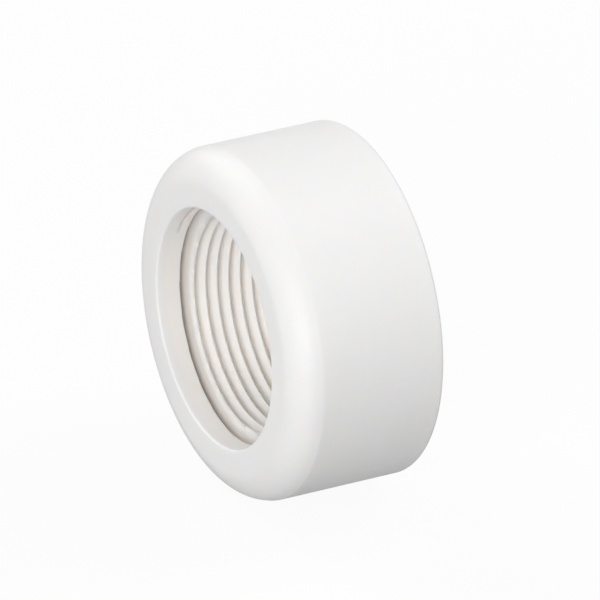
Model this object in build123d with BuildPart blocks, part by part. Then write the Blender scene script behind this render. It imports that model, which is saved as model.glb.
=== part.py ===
"""Threaded pipe cap: one white plastic moulding with a female taper pipe thread.

The cap lies on its side. Its axis is Y, the mouth faces -Y and the closed end faces +Y. The origin is
the centre of the mouth plane. Lengths are in millimetres, and a depth is counted from the mouth.
"""

import math
import os

from build123d import *

# Outer body
outer_diameter = 62.2
overall_length = 28.2
lip_length = 5.0  # the lip slopes in from the wall over this length
lip_slope = 16.0  # degrees from the axis
lip_edge_rounding = 2.0  # between the wall and the lip's slope
mouth_rounding = 5.6  # between the lip's slope and the mouth's face
mouth_face_min = 0.5  # flat ring that is left between the mouth's two roundings, at least
back_rounding = 0.7  # outer corner of the closed end

# Female taper pipe thread, size 1 1/4, right-hand
pipe_outer_diameter = 42.164
threads_per_inch = 11.5
hand_tight_length = 10.668  # length of pipe thread that goes in by hand
thread_height_share = 0.76  # radial height of the thread, as a share of the pitch
flank_angle = 60.0  # between the two flanks of a groove
root_flat_share = 0.0613  # width of the groove's flat bottom, as a share of the pitch
taper = 1 / 32  # loss of radius for each millimetre of depth
pipe_end_share = 0.05  # these two give the pitch diameter at the pipe's end, with the diameter in inches
pipe_end_base = 1.1
thread_turn = 298.3  # degrees about +Y from +Z to where the groove begins
groove_start = 3.135  # depth of the groove's middle where it begins

# The groove's first turn is a wider slot that is also deeper than the entry bore's wall
start_turns = 1.24
start_depth = 1.7
start_near = 0.45  # from the groove's middle to the slot's side nearer the mouth
start_far = 0.15  # from the groove's middle to the far side of the slot's flat bottom

# Bore
entry_clearance = 0.1  # radial gap around the pipe
entry_rounding = 0.4
entry_depth = 5.0  # plain bore between the mouth and the thread
lead_in_length = 0.8
end_wall = 4.4
thread_end_gap = 1.8  # plain bore between the thread and the floor
floor_rounding = 0.9

# Moulding gate in the middle of the closed end
gate_recess_diameter = 7.0
gate_recess_depth = 0.6
gate_stub_diameter = 2.4
gate_stub_height = 0.35

# Sizes that follow from the ones above
outer_radius = outer_diameter / 2
pitch = 25.4 / threads_per_inch
pipe_end_drop = (pipe_end_share * pipe_outer_diameter / 25.4 + pipe_end_base) * pitch
thread_pitch_diameter = pipe_outer_diameter - pipe_end_drop + 2 * taper * hand_tight_length
major_radius = (thread_pitch_diameter + thread_height_share * pitch) / 2
minor_radius = (thread_pitch_diameter - thread_height_share * pitch) / 2
entry_radius = pipe_outer_diameter / 2 + entry_clearance
lip_radius = outer_radius - lip_length * math.tan(math.radians(lip_slope))
lip_room = lip_radius - mouth_face_min - entry_rounding - entry_radius
lip_rounding = min(mouth_rounding, lip_room / math.tan(math.radians((90 - lip_slope) / 2)))
start_radius = entry_radius + start_depth
socket_depth = overall_length - end_wall

crest_depth = entry_depth + lead_in_length
crest_radius_front = minor_radius - (crest_depth - groove_start) * taper
crest_radius_back = minor_radius - (socket_depth - groove_start) * taper

# A groove's open side reaches past the crests into the bore, so that no face of the cut lies on the wall.
cut_overlap = 0.4
groove_inner_radius = minor_radius - cut_overlap
root_half = pitch * root_flat_share / 2
flank_slope = math.tan(math.radians(flank_angle / 2))
flank_run = (major_radius - groove_inner_radius) * flank_slope
open_half = root_half + flank_run
start_run = (start_radius - groove_inner_radius) * flank_slope
groove_end = socket_depth - thread_end_gap - open_half

os.makedirs("parts", exist_ok=True)


def cut_groove(outline, length):
    """Build the cutter for a helical groove that begins at groove_start.

    The outline's corners are (height above the helix, distance towards the mouth), and length is along the axis.
    """
    with BuildPart() as cutter:
        with BuildLine() as path:
            Helix(
                pitch=pitch,
                height=length,
                radius=groove_inner_radius,
                center=(0, groove_start, 0),
                direction=(0, 1, 0),
                cone_angle=-math.degrees(math.atan(taper)),
            )
        begin = path.line @ 0
        outward = begin - Vector(0, groove_start, 0)
        with BuildSketch(Plane(origin=begin, x_dir=outward, z_dir=path.line % 0)):
            with BuildLine():
                Polyline(*outline, close=True)
            make_face()
        sweep(path=path.line, is_frenet=True)
    return cutter.part


root_height = major_radius - groove_inner_radius
thread_groove = cut_groove(
    [(0, -open_half), (root_height, -root_half), (root_height, root_half), (0, open_half)],
    groove_end - groove_start,
)
slot_height = start_radius - groove_inner_radius
start_slot = cut_groove(
    [(0, start_near), (slot_height, start_near), (slot_height, -start_far), (0, -start_far - start_run)],
    start_turns * pitch,
)

with BuildPart() as cap_body:
    # Half section of the blank, turned about the axis
    with BuildSketch(Plane.XY) as section:
        with BuildLine():
            Polyline(
                (0, overall_length),
                (outer_radius, overall_length),
                (outer_radius, lip_length),
                (lip_radius, 0),
                (entry_radius, 0),
                (entry_radius, entry_depth),
                (crest_radius_front, crest_depth),
                (crest_radius_back, socket_depth),
                (0, socket_depth),
                close=True,
            )
        make_face()
        for corner, rounding in (
            ((lip_radius, 0), lip_rounding),
            ((outer_radius, lip_length), lip_edge_rounding),
            ((entry_radius, 0), entry_rounding),
            ((outer_radius, overall_length), back_rounding),
            ((crest_radius_back, socket_depth), floor_rounding),
        ):
            fillet(section.vertices().sort_by_distance(corner)[0], rounding)
    revolve(axis=Axis.Y)
    # Female thread
    for groove in (thread_groove, start_slot):
        add(groove, rotation=(0, thread_turn, 0), mode=Mode.SUBTRACT)
    # Gate mark
    back_plane = Plane.XZ.offset(-overall_length)
    with BuildSketch(back_plane):
        Circle(gate_recess_diameter / 2)
        Circle(gate_stub_diameter / 2, mode=Mode.SUBTRACT)
    extrude(amount=gate_recess_depth, mode=Mode.SUBTRACT)
    with BuildSketch(back_plane):
        Circle(gate_stub_diameter / 2)
    extrude(amount=gate_recess_depth - gate_stub_height, mode=Mode.SUBTRACT)

cap_body.part.label = "cap_body"
export_step(cap_body.part, "parts/cap_body.step")
print("cap_body volume", round(cap_body.part.volume, 1), "mm3")
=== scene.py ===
"""A white moulded pipe cap with a female thread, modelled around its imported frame.

Lengths are metres in the frame's axes. The cap's axis is Y: depth 0 is the mouth plane, and the
closed end is at the far side, towards +Y. The cap lies on its side on the floor.
"""

import logging
import math
from collections.abc import Callable
from dataclasses import dataclass, field
from enum import Enum

import bpy
import numpy as np
from mathutils import Matrix, Vector


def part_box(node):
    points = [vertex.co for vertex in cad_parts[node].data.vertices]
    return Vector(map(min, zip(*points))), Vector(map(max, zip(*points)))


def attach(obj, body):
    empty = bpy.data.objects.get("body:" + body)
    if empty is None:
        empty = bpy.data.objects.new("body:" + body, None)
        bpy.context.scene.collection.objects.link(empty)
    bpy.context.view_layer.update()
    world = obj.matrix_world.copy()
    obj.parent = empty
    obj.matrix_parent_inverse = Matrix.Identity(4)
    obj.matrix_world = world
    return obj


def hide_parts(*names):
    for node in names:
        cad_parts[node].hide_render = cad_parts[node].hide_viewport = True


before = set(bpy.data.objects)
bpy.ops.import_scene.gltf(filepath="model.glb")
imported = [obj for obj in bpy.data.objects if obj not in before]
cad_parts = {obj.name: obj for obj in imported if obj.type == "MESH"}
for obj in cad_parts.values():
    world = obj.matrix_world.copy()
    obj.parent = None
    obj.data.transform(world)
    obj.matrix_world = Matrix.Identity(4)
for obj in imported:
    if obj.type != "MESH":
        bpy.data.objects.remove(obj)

LOG = logging.getLogger("pipe_cap")
MM = 0.001
CAD_NODE = "cap_body"
BODY = "root"
# Point attribute: the bore's tint and, at the first slot's bottom, the painted shade.
BORE_TINT_AND_SLOT_SHADE_MARK = "bore_tint_and_slot_shade"
BORE_SHARE = 0.5
SAME_PLACE = 0.004 * MM
RING_GAP = 0.01 * MM


class Domain(Enum):
    """Which mesh elements a selection works on."""

    EDGE = "EDGE"
    FACE = "FACE"


def start_clean() -> None:
    """Leave edit mode and deselect every object, the frame's own nodes included."""
    if bpy.context.object and bpy.context.object.mode != "OBJECT":
        bpy.ops.object.mode_set(mode="OBJECT")
    bpy.ops.object.select_all(action="DESELECT")


def remove_default_objects() -> None:
    """Remove the cube, light and camera that a new Blender file holds."""
    for name in ("Cube", "Light", "Camera"):
        if name in bpy.data.objects:
            bpy.data.objects.remove(bpy.data.objects[name], do_unlink=True)


def read_points(mesh: bpy.types.Mesh) -> np.ndarray:
    """Read where a mesh's points are.

    Args:
        mesh: the mesh.

    Returns:
        An array of (n, 3) coordinates.
    """
    points = np.empty(len(mesh.vertices) * 3)
    mesh.vertices.foreach_get("co", points)
    return points.reshape(-1, 3)


def near(values: np.ndarray, target: float) -> np.ndarray:
    """Say which values lie within a small distance of a target."""
    return np.abs(values - target) < SAME_PLACE


def between(values: np.ndarray, low: float, high: float) -> np.ndarray:
    """Say which values lie from low to high, with a little slack at both ends."""
    return (values > low - SAME_PLACE) & (values < high + SAME_PLACE)


def from_axis(points: np.ndarray) -> np.ndarray:
    """Distance of each point from the cap's axis."""
    return np.hypot(points[:, 0], points[:, 2])


def blend_steps(values: np.ndarray) -> np.ndarray:
    """Ease values from 0 to 1 with level ends; values outside stay at 0 or 1."""
    clipped = np.clip(values, 0.0, 1.0)
    return clipped * clipped * (3.0 - 2.0 * clipped)


@dataclass(frozen=True)
class PipeThread:
    """A right-hand taper pipe thread with rounded crests and roots, behind a wider first slot.

    Args:
        pitch: distance between neighbouring grooves.
        pitch_radius: radius of the middle of the flanks where the groove begins.
        height_share: radial height of the thread, as a share of the pitch.
        half_flank: angle of a flank from the radial direction, in radians.
        taper: loss of radius for each unit of depth.
        start_depth: depth of the groove's middle where it begins.
        start_turn: angle about the axis where it begins, in radians.
        turns: length of the groove in turns.
        run_in: turns over which the groove gets its full depth.
        run_out: turns over which it fades at its deep end.
        slot_radius: radius at the bottom of the first slot.
        slot_near: from the groove's middle to the slot's side nearer the mouth.
        slot_near_rise: how steeply that side rises, as radius lost for each unit of length.
        slot_far: from the groove's middle to the far side of the slot's flat bottom.
        slot_turns: length of the slot in turns.
        slot_softness: how gently the slot's corners bend.
    """

    pitch: float = 25.4 / 11.5 * MM
    pitch_radius: float = 40.218 / 2 * MM
    height_share: float = 0.76
    half_flank: float = math.radians(30.0)
    taper: float = 1 / 32
    start_depth: float = 3.135 * MM
    start_turn: float = math.radians(208.3)
    turns: float = 7.7
    run_in: float = 0.12
    run_out: float = 0.3
    slot_radius: float = 22.882 * MM
    slot_near: float = 0.45 * MM
    slot_near_rise: float = 17.0
    slot_far: float = 0.15 * MM
    slot_turns: float = 1.24
    slot_softness: float = 0.06 * MM

    @property
    def height(self) -> float:
        """Radial distance from the crests to the roots."""
        return self.height_share * self.pitch

    def crest_radius(self, depth: np.ndarray) -> np.ndarray:
        """Radius of the bore along the crests at each depth."""
        return self.pitch_radius - self.height / 2 - (depth - self.start_depth) * self.taper

    def groove_radius(self, depth: np.ndarray, angle: np.ndarray) -> np.ndarray:
        """Radius of the groove's surface at each depth and angle about the axis.

        Args:
            depth: distance from the mouth plane.
            angle: angle about the axis, growing the way that a groove goes deeper.

        Returns:
            Radii, which are the crests' radius where there is no groove.
        """
        part_turn = np.mod(angle - self.start_turn, 2 * math.pi) / (2 * math.pi)
        from_start = (depth - self.start_depth) / self.pitch - part_turn
        whole_turns = np.round(from_start)
        beyond = (from_start - whole_turns) * self.pitch
        along = whole_turns + part_turn
        begun = blend_steps(along / self.run_in)
        rise = begun * blend_steps((self.turns - along) / self.run_out)
        standard = self.crest_radius(depth) + (self.height - self._drop(np.abs(beyond))) * rise
        return np.maximum(standard, self._slot_radius_at(beyond, along, begun))

    def _drop(self, off_centre: np.ndarray) -> np.ndarray:
        """Work out the section of a standard groove: round root, straight flank, round crest.

        Args:
            off_centre: distances from the groove's middle, without their sign.

        Returns:
            Heights above the root.
        """
        cosine, sine = math.cos(self.half_flank), math.sin(self.half_flank)
        rounding = (self.pitch * cosine / 2 - self.height * sine) / (2 * (1 - sine))
        bend = rounding * cosine
        bend_drop = rounding * (1 - sine)
        root = rounding - np.sqrt(np.maximum(rounding**2 - np.minimum(off_centre, bend) ** 2, 0.0))
        flank = bend_drop + (off_centre - bend) / math.tan(self.half_flank)
        to_crest = np.minimum(self.pitch / 2 - off_centre, bend)
        crest = self.height - rounding + np.sqrt(np.maximum(rounding**2 - to_crest**2, 0.0))
        return np.where(off_centre < bend, root, np.where(off_centre < self.pitch / 2 - bend, flank, crest))

    def _slot_radius_at(self, beyond: np.ndarray, along: np.ndarray, begun: np.ndarray) -> np.ndarray:
        """Work out the first slot's surface, at radius 0 where there is no slot.

        Args:
            beyond: distance past the groove's middle, away from the mouth.
            along: distance along the groove, in turns.
            begun: share of the slot's depth that the groove's beginning has reached.

        Returns:
            Radii of the slot's surface.
        """
        past_bottom = np.maximum(beyond - self.slot_far, 0.0)
        far_side = np.hypot(past_bottom, self.slot_softness) - self.slot_softness
        near_side = np.maximum(-self.slot_near - beyond, 0.0)
        surface = self.slot_radius - far_side / math.tan(self.half_flank) - near_side * self.slot_near_rise
        faded = np.minimum(begun, blend_steps((self.slot_turns - along) / self.run_in))
        surface -= (1.0 - faded) * self.height
        return np.where((along > 0) & (along < self.slot_turns), surface, 0.0)


@dataclass
class CapShell:
    """The moulded cap: wall, sloped lip, threaded socket and closed end, as one closed mesh.

    Args:
        segments: sides of every ring about the axis.
        lip_length: length over which the lip slopes in from the wall.
        lip_slope: angle of that slope from the axis, in radians.
        lip_edge_rounding: radius between the wall and the slope.
        mouth_rounding: radius between the slope and the mouth's face.
        back_rounding: radius of the closed end's outer corner.
        pipe_radius: outer radius of the pipe that the cap goes onto.
        entry_clearance: radial gap of the plain entry bore around the pipe.
        entry_rounding: radius of the mouth's inner corner.
        entry_depth: depth of the plain entry bore.
        lead_in_length: length of the slope from the entry bore to the crests.
        end_wall: thickness of the closed end.
        floor_rounding: radius between the bore and its floor.
        gate_radius: radius of the gate recess in the closed end.
        gate_depth: depth of the gate recess.
        gate_rounding: radius of the recess's corners.
        stub_radius: radius of the gate stub in the recess.
        stub_height: height of the gate stub.
        stub_rounding: radius of the stub's top edge.
        edge_band: width of the narrow rings that keep the flat ends flat.
        lip_steps: faces across the mouth's rounding.
        edge_steps: faces across the rounding of the lip's edge.
        corner_steps: faces across each other corner of the shell.
        gate_steps: faces across each corner of the gate.
        wall_cuts: new rings along the wall.
        slope_cuts: new rings along the lip's slope.
        mouth_cuts: new rings across the mouth's face.
        entry_cuts: new rings along the plain bore before the thread.
        thread_cuts: new rings per stretch of the threaded bore, in each pass.
        thread: the female thread.
    """

    segments: int = 240
    lip_length: float = 5.0 * MM
    lip_slope: float = math.radians(16.0)
    lip_edge_rounding: float = 2.0 * MM
    mouth_rounding: float = 5.6 * MM
    back_rounding: float = 0.7 * MM
    pipe_radius: float = 42.164 / 2 * MM
    entry_clearance: float = 0.1 * MM
    entry_rounding: float = 0.4 * MM
    entry_depth: float = 5.0 * MM
    lead_in_length: float = 0.8 * MM
    end_wall: float = 4.4 * MM
    floor_rounding: float = 0.9 * MM
    gate_radius: float = 3.5 * MM
    gate_depth: float = 0.6 * MM
    gate_rounding: float = 0.12 * MM
    stub_radius: float = 1.2 * MM
    stub_height: float = 0.35 * MM
    stub_rounding: float = 0.1 * MM
    edge_band: float = 0.25 * MM
    lip_steps: int = 24
    edge_steps: int = 6
    corner_steps: int = 8
    gate_steps: int = 4
    wall_cuts: int = 26
    slope_cuts: int = 5
    mouth_cuts: int = 6
    entry_cuts: int = 5
    thread_cuts: tuple[int, ...] = (13, 14)
    thread: PipeThread = field(default_factory=PipeThread)

    def __post_init__(self) -> None:
        """Take the overall sizes from the frame."""
        low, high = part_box(CAD_NODE)
        self.radius = (high[0] - low[0]) / 2
        self.length = high[1] - low[1]
        self.lip_radius = self.radius - self.lip_length * math.tan(self.lip_slope)
        self.lip_reach = self.mouth_rounding * math.tan((math.pi / 2 - self.lip_slope) / 2)
        self.edge_reach = self.lip_edge_rounding * math.tan(self.lip_slope / 2)
        self.entry_radius = self.pipe_radius + self.entry_clearance
        self.socket_depth = self.length - self.end_wall
        self.thread_from = self.thread.start_depth - self.thread.pitch / 2
        self.thread_to = self.socket_depth - self.floor_rounding
        self.floor_disc = self.entry_radius - self.floor_rounding - self.edge_band

    def build(self) -> bpy.types.Object:
        """Model the shell.

        Returns:
            The shell, in place and with smooth faces.
        """
        piece = self._blank()
        self._open_socket(piece)
        self._mark_gate(piece)
        self._round_corners(piece)
        self._divide_walls(piece)
        self._form_thread(piece)
        bpy.ops.object.shade_smooth()
        return piece

    def _blank(self) -> bpy.types.Object:
        """Add the turned blank, a solid cylinder lying along the axis, and slope its lip.

        Returns:
            The blank, which the other methods shape.
        """
        start_clean()
        bpy.ops.mesh.primitive_cylinder_add(
            vertices=self.segments,
            radius=self.radius,
            depth=self.length - self.lip_length,
            end_fill_type="NGON",
            location=(0, (self.length + self.lip_length) / 2, 0),
            rotation=(math.pi / 2, 0, 0),
        )
        bpy.ops.object.transform_apply(location=True, rotation=True, scale=True)
        piece = bpy.context.object
        piece.name = "cap_shell"
        piece.data.name = "cap_shell"
        self._slope_lip(piece)
        return piece

    def _slope_lip(self, piece: bpy.types.Object) -> None:
        """Extrude the mouth's end from the lip's edge and draw it in.

        Args:
            piece: the shell.
        """
        self._select(piece, Domain.FACE, lambda d, r: near(d, self.lip_length) & near(r, self.radius))
        bpy.ops.mesh.extrude_region_move(TRANSFORM_OT_translate={"value": (0, -self.lip_length, 0)})
        draw_in = self.lip_radius / self.radius
        bpy.ops.transform.resize(value=(draw_in, 1, draw_in))

    def _select(
        self, piece: bpy.types.Object, domain: Domain, test: Callable[[np.ndarray, np.ndarray], np.ndarray]
    ) -> None:
        """Select the edges or faces all of whose corners pass a test, and open the piece in edit mode.

        Args:
            piece: the shell.
            domain: edges or faces.
            test: takes depths and radii and returns booleans.
        """
        bpy.ops.object.mode_set(mode="OBJECT")
        mesh = piece.data
        points = read_points(mesh)
        passed = test(points[:, 1], from_axis(points))
        if domain is Domain.EDGE:
            ends = np.empty(len(mesh.edges) * 2, dtype=np.int32)
            mesh.edges.foreach_get("vertices", ends)
            chosen = passed[ends.reshape(-1, 2)].all(axis=1)
        else:
            corners = np.empty(len(mesh.loops), dtype=np.int32)
            starts = np.empty(len(mesh.polygons), dtype=np.int32)
            mesh.loops.foreach_get("vertex_index", corners)
            mesh.polygons.foreach_get("loop_start", starts)
            chosen = np.logical_and.reduceat(passed[corners], starts)
        self._apply_selection(piece, domain, chosen)

    def _apply_selection(self, piece: bpy.types.Object, domain: Domain, chosen: np.ndarray) -> None:
        """Select elements by an array of booleans and open the piece in edit mode.

        Args:
            piece: the shell.
            domain: edges or faces.
            chosen: whether each edge or face is selected.
        """
        mesh = piece.data
        mesh.vertices.foreach_set("select", np.zeros(len(mesh.vertices), dtype=bool))
        for kind, elements in ((Domain.EDGE, mesh.edges), (Domain.FACE, mesh.polygons)):
            values = chosen if kind is domain else np.zeros(len(elements), dtype=bool)
            elements.foreach_set("select", values)
        bpy.context.tool_settings.mesh_select_mode = (False, domain is Domain.EDGE, domain is Domain.FACE)
        bpy.ops.object.mode_set(mode="EDIT")

    def _inset_disc(self, piece: bpy.types.Object, depth: float, radius: float, inner: float) -> None:
        """Inset the flat disc that closes a ring.

        Args:
            piece: the shell.
            depth: where the disc lies along the axis.
            radius: the disc's radius now.
            inner: the radius of the new, smaller disc.
        """
        self._select(piece, Domain.FACE, lambda d, r: near(d, depth) & near(r, radius))
        bpy.ops.mesh.inset(thickness=radius - inner, use_even_offset=False)

    def _push_disc(self, piece: bpy.types.Object, depth: float, radius: float, travel: float) -> None:
        """Extrude the disc that closes a ring along the axis.

        Args:
            piece: the shell.
            depth: where the disc lies along the axis.
            radius: the disc's radius.
            travel: how far it moves along +Y.
        """
        self._select(piece, Domain.FACE, lambda d, r: near(d, depth) & near(r, radius))
        bpy.ops.mesh.extrude_region_move(TRANSFORM_OT_translate={"value": (0, travel, 0)})

    def _bevel_ring(
        self, piece: bpy.types.Object, depth: float, radius: float, reach: float, steps: int
    ) -> None:
        """Round one ring of edges.

        Args:
            piece: the shell.
            depth: where the ring lies along the axis.
            radius: the ring's radius.
            reach: how far the rounding runs along each face from the ring.
            steps: number of faces across it.
        """
        self._select(piece, Domain.EDGE, lambda d, r: near(d, depth) & near(r, radius))
        bpy.ops.mesh.bevel(offset=reach, segments=steps, profile=0.5, affect="EDGES", clamp_overlap=False)

    def _cut_rungs(
        self, piece: bpy.types.Object, depths: tuple[float, float], radii: tuple[float, float], cuts: int
    ) -> None:
        """Cut each edge that runs from ring to ring inside a stretch of the section.

        Args:
            piece: the shell.
            depths: lowest and highest depth of the stretch.
            radii: smallest and largest radius of the stretch.
            cuts: number of new rings between each two rings.
        """
        bpy.ops.object.mode_set(mode="OBJECT")
        mesh = piece.data
        points = read_points(mesh)
        radius = from_axis(points)
        passed = between(points[:, 1], *depths) & between(radius, *radii)
        ends = np.empty(len(mesh.edges) * 2, dtype=np.int32)
        mesh.edges.foreach_get("vertices", ends)
        first, second = ends.reshape(-1, 2).T
        along = np.abs(points[first, 1] - points[second, 1]) + np.abs(radius[first] - radius[second])
        self._apply_selection(piece, Domain.EDGE, passed[first] & passed[second] & (along > RING_GAP))
        bpy.ops.mesh.subdivide(number_cuts=cuts)

    def _open_socket(self, piece: bpy.types.Object) -> None:
        """Sink the bore from the mouth to its floor, with a ring where the thread begins.

        Args:
            piece: the shell.
        """
        self._inset_disc(piece, 0.0, self.lip_radius, self.entry_radius)
        self._push_disc(piece, 0.0, self.entry_radius, self.thread_from)
        self._push_disc(piece, self.thread_from, self.entry_radius, self.socket_depth - self.thread_from)

    def _mark_gate(self, piece: bpy.types.Object) -> None:
        """Sink the gate recess in the closed end and raise the cut-off stub in it.

        Args:
            piece: the shell.
        """
        self._inset_disc(piece, self.length, self.radius, self.gate_radius)
        self._push_disc(piece, self.length, self.gate_radius, -self.gate_depth)
        recess = self.length - self.gate_depth
        self._inset_disc(piece, recess, self.gate_radius, self.stub_radius)
        self._push_disc(piece, recess, self.stub_radius, self.stub_height)

    def _round_corners(self, piece: bpy.types.Object) -> None:
        """Round the lip, the mouth's inner corner, the floor's corner, the back edge and the gate.

        Args:
            piece: the shell.
        """
        recess = self.length - self.gate_depth
        stub_top = recess + self.stub_height
        self._bevel_ring(piece, 0.0, self.lip_radius, self.lip_reach, self.lip_steps)
        self._bevel_ring(piece, self.lip_length, self.radius, self.edge_reach, self.edge_steps)
        self._bevel_ring(piece, 0.0, self.entry_radius, self.entry_rounding, self.corner_steps)
        self._bevel_ring(piece, self.socket_depth, self.entry_radius, self.floor_rounding, self.corner_steps)
        self._bevel_ring(piece, self.length, self.radius, self.back_rounding, self.corner_steps)
        self._bevel_ring(piece, self.length, self.gate_radius, self.gate_rounding, self.gate_steps)
        self._bevel_ring(piece, recess, self.gate_radius, self.gate_rounding, self.gate_steps)
        self._bevel_ring(piece, recess, self.stub_radius, self.gate_rounding, self.gate_steps)
        self._bevel_ring(piece, stub_top, self.stub_radius, self.stub_rounding, self.gate_steps)

    def _divide_walls(self, piece: bpy.types.Object) -> None:
        """Cut the wall, the mouth's face and the bore into short rings, and band the flat ends.

        Args:
            piece: the shell.
        """
        radius, entry = self.radius, self.entry_radius
        wall = (self.lip_length + self.edge_reach, self.length - self.back_rounding)
        slope_from = self.lip_reach * math.cos(self.lip_slope)
        slope_to = self.lip_length - self.edge_reach * math.cos(self.lip_slope)
        mouth_face = (entry + self.entry_rounding, self.lip_radius - self.lip_reach)
        self._cut_rungs(piece, wall, (radius, radius), self.wall_cuts)
        self._cut_rungs(piece, (slope_from, slope_to), (self.lip_radius, radius), self.slope_cuts)
        self._cut_rungs(piece, (0.0, 0.0), mouth_face, self.mouth_cuts)
        self._cut_rungs(piece, (self.entry_rounding, self.thread_from), (entry, entry), self.entry_cuts)
        for cuts in self.thread_cuts:
            self._cut_rungs(piece, (self.thread_from, self.thread_to), (entry, entry), cuts)
        self._inset_disc(piece, self.socket_depth, entry - self.floor_rounding, self.floor_disc)
        self._select(piece, Domain.FACE, lambda d, r: near(d, self.length) & (r > self.gate_radius))
        bpy.ops.mesh.inset(thickness=self.edge_band, use_even_offset=False)

    def _form_thread(self, piece: bpy.types.Object) -> None:
        """Bring the bore's rings in to the lead-in and the thread, the floor's edge with them.

        Args:
            piece: the shell.
        """
        bpy.ops.object.mode_set(mode="OBJECT")
        mesh = piece.data
        points = read_points(mesh)
        radius, depth = from_axis(points), points[:, 1]
        angle = np.arctan2(-points[:, 2], points[:, 0])
        bore = between(radius, self.floor_disc, self.entry_radius)
        bore &= between(depth, self.thread_from, self.socket_depth)
        fall = blend_steps((depth - self.entry_depth) / self.lead_in_length)
        lead_in = self.entry_radius - (self.entry_radius - self.thread.crest_radius(depth)) * fall
        grooved = self.thread.groove_radius(depth, angle)
        target = np.maximum(lead_in, grooved)
        moved = np.where(bore, radius + target - self.entry_radius, radius)
        points[:, [0, 2]] *= (moved / radius)[:, None]
        mesh.vertices.foreach_set("co", points.ravel())
        root_radius = self.thread.crest_radius(depth) + self.thread.height
        # How deep each point lies in the first slot; the material darkens it there as painted shade.
        slot_shade_share = (grooved - root_radius) / (self.thread.slot_radius - root_radius)
        in_groove = bore & (grooved > lead_in + RING_GAP)
        self._mark_tint_and_painted_shade(mesh, bore, np.where(in_groove, np.clip(slot_shade_share, 0.0, 1.0), 0.0))

    @staticmethod
    def _mark_tint_and_painted_shade(mesh: bpy.types.Mesh, bore: np.ndarray, slot_shade_share: np.ndarray) -> None:
        """Mark each point's colour share: 0 outside, BORE_SHARE in the bore, 1 at the slot's bottom, where
        shade is painted.

        Args:
            mesh: the shell's mesh.
            bore: whether each point lies in the bore.
            slot_shade_share: how deep in the first slot each point lies, from 0 to 1, which sets the painted
                shade there.
        """
        share = BORE_SHARE * bore + (1.0 - BORE_SHARE) * np.sqrt(slot_shade_share)
        mark = mesh.attributes.new(BORE_TINT_AND_SLOT_SHADE_MARK, "FLOAT", "POINT")
        mark.data.foreach_set("value", share.astype(np.float32))
        mesh.update()


@dataclass(frozen=True)
class NoisePattern:
    """A noise over a piece's own coordinates.

    Args:
        scale: features per metre.
        detail: number of finer layers.
        used: lowest and highest value that the finish makes use of.
    """

    scale: float
    detail: float
    used: tuple[float, float] = (0.0, 1.0)

    def add(self, material: bpy.types.Material, place: bpy.types.Node) -> bpy.types.NodeSocket:
        """Add the noise to a material.

        Args:
            material: the material.
            place: the texture coordinate node.

        Returns:
            The noise's value.
        """
        noise = material.node_tree.nodes.new("ShaderNodeTexNoise")
        noise.inputs["Scale"].default_value = self.scale
        noise.inputs["Detail"].default_value = self.detail
        material.node_tree.links.new(place.outputs["Object"], noise.inputs["Vector"])
        return noise.outputs["Fac"]

    def add_between(
        self, material: bpy.types.Material, place: bpy.types.Node, low: float, high: float
    ) -> bpy.types.NodeSocket:
        """Add the noise to a material and stretch its used values over a range.

        Args:
            material: the material.
            place: the texture coordinate node.
            low: the result at the lowest used value.
            high: the result at the highest used value.

        Returns:
            The stretched value.
        """
        stretch = material.node_tree.nodes.new("ShaderNodeMapRange")
        stretch.inputs["From Min"].default_value, stretch.inputs["From Max"].default_value = self.used
        stretch.inputs["To Min"].default_value, stretch.inputs["To Max"].default_value = low, high
        material.node_tree.links.new(self.add(material, place), stretch.inputs["Value"])
        return stretch.outputs["Result"]


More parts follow.
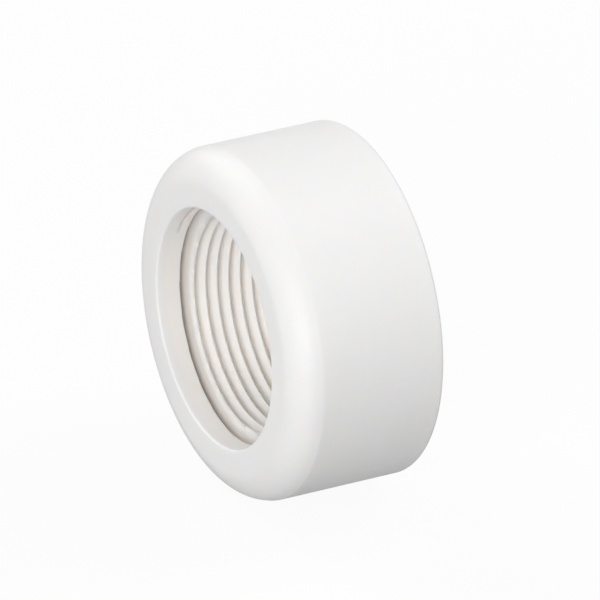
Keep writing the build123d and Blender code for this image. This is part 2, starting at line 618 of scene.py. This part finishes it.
@dataclass(frozen=True)
class WhitePlastic:
    """Rigid white plastic with a fine moulded surface, with painted shade at the bottom of the first slot.

    Args:
        colour: base colour, linear.
        bore_colour: base colour in the bore, a little warmer than outside.
        slot_painted_shade_colour: base colour at the bottom of the first slot, darkened as painted shade.
        tone: lowest and highest share of the base colour over the mottling.
        roughness: lowest and highest roughness over the wear.
        refraction: index of refraction.
        scatter: share of light that enters the plastic and scatters.
        scatter_reach: how far it scatters.
        scatter_tint: how far red, green and blue scatter beside each other.
        mottle: broad unevenness of tone.
        wear: unevenness of gloss.
        grain: the fine moulded surface.
        grain_height: height of the grain.
        grain_strength: how strongly the grain shows.
    """

    colour: tuple[float, float, float] = (0.9, 0.895, 0.89)
    bore_colour: tuple[float, float, float] = (0.928, 0.9, 0.872)
    slot_painted_shade_colour: tuple[float, float, float] = (0.63, 0.59, 0.55)
    tone: tuple[float, float] = (0.985, 1.0)
    roughness: tuple[float, float] = (0.46, 0.56)
    refraction: float = 1.53
    scatter: float = 0.5
    scatter_reach: float = 2.0 * MM
    scatter_tint: tuple[float, float, float] = (1.0, 0.85, 0.7)
    mottle: NoisePattern = NoisePattern(70.0, 3.0, (0.35, 0.65))
    wear: NoisePattern = NoisePattern(260.0, 6.0, (0.3, 0.7))
    grain: NoisePattern = NoisePattern(2600.0, 2.0)
    grain_height: float = 0.02 * MM
    grain_strength: float = 0.35

    def apply(self, piece: bpy.types.Object) -> None:
        """Give the plastic to a piece.

        Args:
            piece: the piece, whose points carry BORE_TINT_AND_SLOT_SHADE_MARK.
        """
        material = bpy.data.materials.new("white_rigid_plastic")
        material.use_nodes = True
        nodes, links = material.node_tree.nodes, material.node_tree.links
        shader = nodes["Principled BSDF"]
        shader.inputs["IOR"].default_value = self.refraction
        shader.inputs["Subsurface Weight"].default_value = self.scatter
        shader.inputs["Subsurface Scale"].default_value = self.scatter_reach
        shader.inputs["Subsurface Radius"].default_value = self.scatter_tint

        place = nodes.new("ShaderNodeTexCoord")
        toned = nodes.new("ShaderNodeVectorMath")
        toned.operation = "SCALE"
        links.new(self._add_colour(material), toned.inputs[0])
        links.new(self.mottle.add_between(material, place, *self.tone), toned.inputs["Scale"])
        links.new(toned.outputs["Vector"], shader.inputs["Base Color"])
        links.new(self.wear.add_between(material, place, *self.roughness), shader.inputs["Roughness"])

        bump = nodes.new("ShaderNodeBump")
        bump.inputs["Strength"].default_value = self.grain_strength
        bump.inputs["Distance"].default_value = self.grain_height
        links.new(self.grain.add(material, place), bump.inputs["Height"])
        links.new(bump.outputs["Normal"], shader.inputs["Normal"])
        piece.data.materials.clear()
        piece.data.materials.append(material)

    def _add_colour(self, material: bpy.types.Material) -> bpy.types.NodeSocket:
        """Add the base colour, which runs from the outside over the bore to the painted shade at the slot's
        bottom.

        Args:
            material: the material.

        Returns:
            The colour.
        """
        mark = material.node_tree.nodes.new("ShaderNodeAttribute")
        mark.attribute_name = BORE_TINT_AND_SLOT_SHADE_MARK
        ramp = material.node_tree.nodes.new("ShaderNodeValToRGB")
        stops = ramp.color_ramp.elements
        stops[0].color = (*self.colour, 1.0)
        # The slot's bottom is darkened as painted shade.
        stops[1].color = (*self.slot_painted_shade_colour, 1.0)
        stops.new(BORE_SHARE).color = (*self.bore_colour, 1.0)
        material.node_tree.links.new(mark.outputs["Fac"], ramp.inputs["Fac"])
        return ramp.outputs["Color"]


@dataclass(frozen=True)
class SoftLight:
    """A square soft light that points at the cap.

    Args:
        name: the light's name.
        direction: from the cap to the light.
        power: in watts.
        size: side of the light.
        distance: from the cap to the light.
    """

    name: str
    direction: tuple[float, float, float]
    power: float
    size: float = 0.5
    distance: float = 0.8

    def add(self, aim: Vector) -> None:
        """Put the light in the scene.

        Args:
            aim: the point that it faces.
        """
        data = bpy.data.lights.new(self.name, "AREA")
        data.shape = "SQUARE"
        data.size = self.size
        data.energy = self.power
        lamp = bpy.data.objects.new(self.name, data)
        bpy.context.scene.collection.objects.link(lamp)
        towards = Vector(self.direction).normalized()
        lamp.location = aim + towards * self.distance
        lamp.rotation_euler = towards.to_track_quat("Z", "Y").to_euler()


@dataclass(frozen=True)
class Studio:
    """A pale floor, soft lights and a long lens looking at the mouth from the upper right.

    Args:
        azimuth: the camera's turn about Z, from the -Y direction towards +X, in radians.
        elevation: the camera's height angle, in radians.
        distance: from the aim point to the camera.
        frame_width: width of the picture at the aim point.
        shift_right: aim point to the right of the cap's middle.
        shift_up: aim point above the cap's middle, across the view.
        sensor_width: width of the camera's sensor, in millimetres as Blender takes it.
        floor_size: side of the square floor.
        floor_colour: the floor's base colour.
        floor_roughness: the floor's roughness.
        floor_glow: the floor's own light.
        sky_strength: the even light from all sides.
        lights: the soft lights.
    """

    azimuth: float = math.radians(61.93)
    elevation: float = math.radians(25.18)
    distance: float = 2.0
    frame_width: float = 103.1 * MM
    shift_right: float = 2.44 * MM
    shift_up: float = 2.185 * MM
    sensor_width: float = 36.0
    floor_size: float = 6.0
    floor_colour: float = 0.06
    floor_roughness: float = 0.9
    floor_glow: float = 0.9255
    sky_strength: float = 0.39
    lights: tuple[SoftLight, ...] = (
        SoftLight("mouth_side", (1.0, -1.0, 0.3), 4.26),
        SoftLight("back_high", (0.1, 0.9, 1.0), 2.64),
        SoftLight("far_side", (-1.0, -0.3, 0.7), 2.21),
        SoftLight("mouth_high", (0.1, -1.0, 0.9), 0.43),
    )

    def build(self, low: Vector, high: Vector) -> None:
        """Add the floor, the sky, the lights and the camera around the cap.

        Args:
            low: the cap's lowest corner.
            high: the cap's highest corner.
        """
        middle = (low + high) / 2
        scene = bpy.context.scene
        scene.view_settings.view_transform = "Standard"
        self._add_floor(low.z)
        self._light_sky(scene)
        for light in self.lights:
            light.add(middle)
        self._add_camera(scene, middle)

    def _add_floor(self, height: float) -> None:
        """Lay the floor, which neither lights the cap nor shows in its gloss.

        Args:
            height: the floor's place along Z.
        """
        start_clean()
        bpy.ops.mesh.primitive_plane_add(size=self.floor_size, location=(0, 0, height))
        floor = bpy.context.object
        floor.name = "floor"
        material = bpy.data.materials.new("pale_floor")
        material.use_nodes = True
        shader = material.node_tree.nodes["Principled BSDF"]
        shader.inputs["Base Color"].default_value = (*(self.floor_colour,) * 3, 1.0)
        shader.inputs["Roughness"].default_value = self.floor_roughness
        shader.inputs["Specular IOR Level"].default_value = 0.0
        shader.inputs["Emission Color"].default_value = (1.0, 1.0, 1.0, 1.0)
        shader.inputs["Emission Strength"].default_value = self.floor_glow
        floor.data.materials.append(material)
        floor.visible_diffuse = False
        floor.visible_glossy = False

    def _light_sky(self, scene: bpy.types.Scene) -> None:
        """Give the scene an even white sky.

        Args:
            scene: the scene.
        """
        world = bpy.data.worlds.new("studio_sky")
        world.use_nodes = True
        sky = world.node_tree.nodes["Background"]
        sky.inputs["Color"].default_value = (1.0, 1.0, 1.0, 1.0)
        sky.inputs["Strength"].default_value = self.sky_strength
        scene.world = world

    def _add_camera(self, scene: bpy.types.Scene, middle: Vector) -> None:
        """Place the camera so that it looks past the cap's middle by the two shifts.

        Args:
            scene: the scene.
            middle: the cap's middle.
        """
        turn, rise = self.azimuth, self.elevation
        right = Vector((math.cos(turn), math.sin(turn), 0.0))
        back = Vector((math.sin(turn) * math.cos(rise), -math.cos(turn) * math.cos(rise), math.sin(rise)))
        up = back.cross(right)
        aim = middle + right * self.shift_right + up * self.shift_up
        data = bpy.data.cameras.new("camera")
        data.sensor_width = self.sensor_width
        data.lens = data.sensor_width * self.distance / self.frame_width
        camera = bpy.data.objects.new("camera", data)
        scene.collection.objects.link(camera)
        axes = Matrix((right, up, back)).transposed()
        camera.matrix_world = Matrix.Translation(aim + back * self.distance) @ axes.to_4x4()
        scene.camera = camera


def main() -> None:
    """Build the cap and the studio, in order."""
    logging.basicConfig(level=logging.INFO, format="%(name)s: %(message)s")
    remove_default_objects()
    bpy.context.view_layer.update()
    shell = CapShell().build()
    WhitePlastic().apply(shell)
    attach(shell, BODY)
    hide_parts(CAD_NODE)
    LOG.info("cap_shell: %d vertices, %d faces", len(shell.data.vertices), len(shell.data.polygons))
    low, high = (Vector(corner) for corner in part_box(CAD_NODE))
    Studio().build(low, high)


if __name__ == "__main__":
    main()
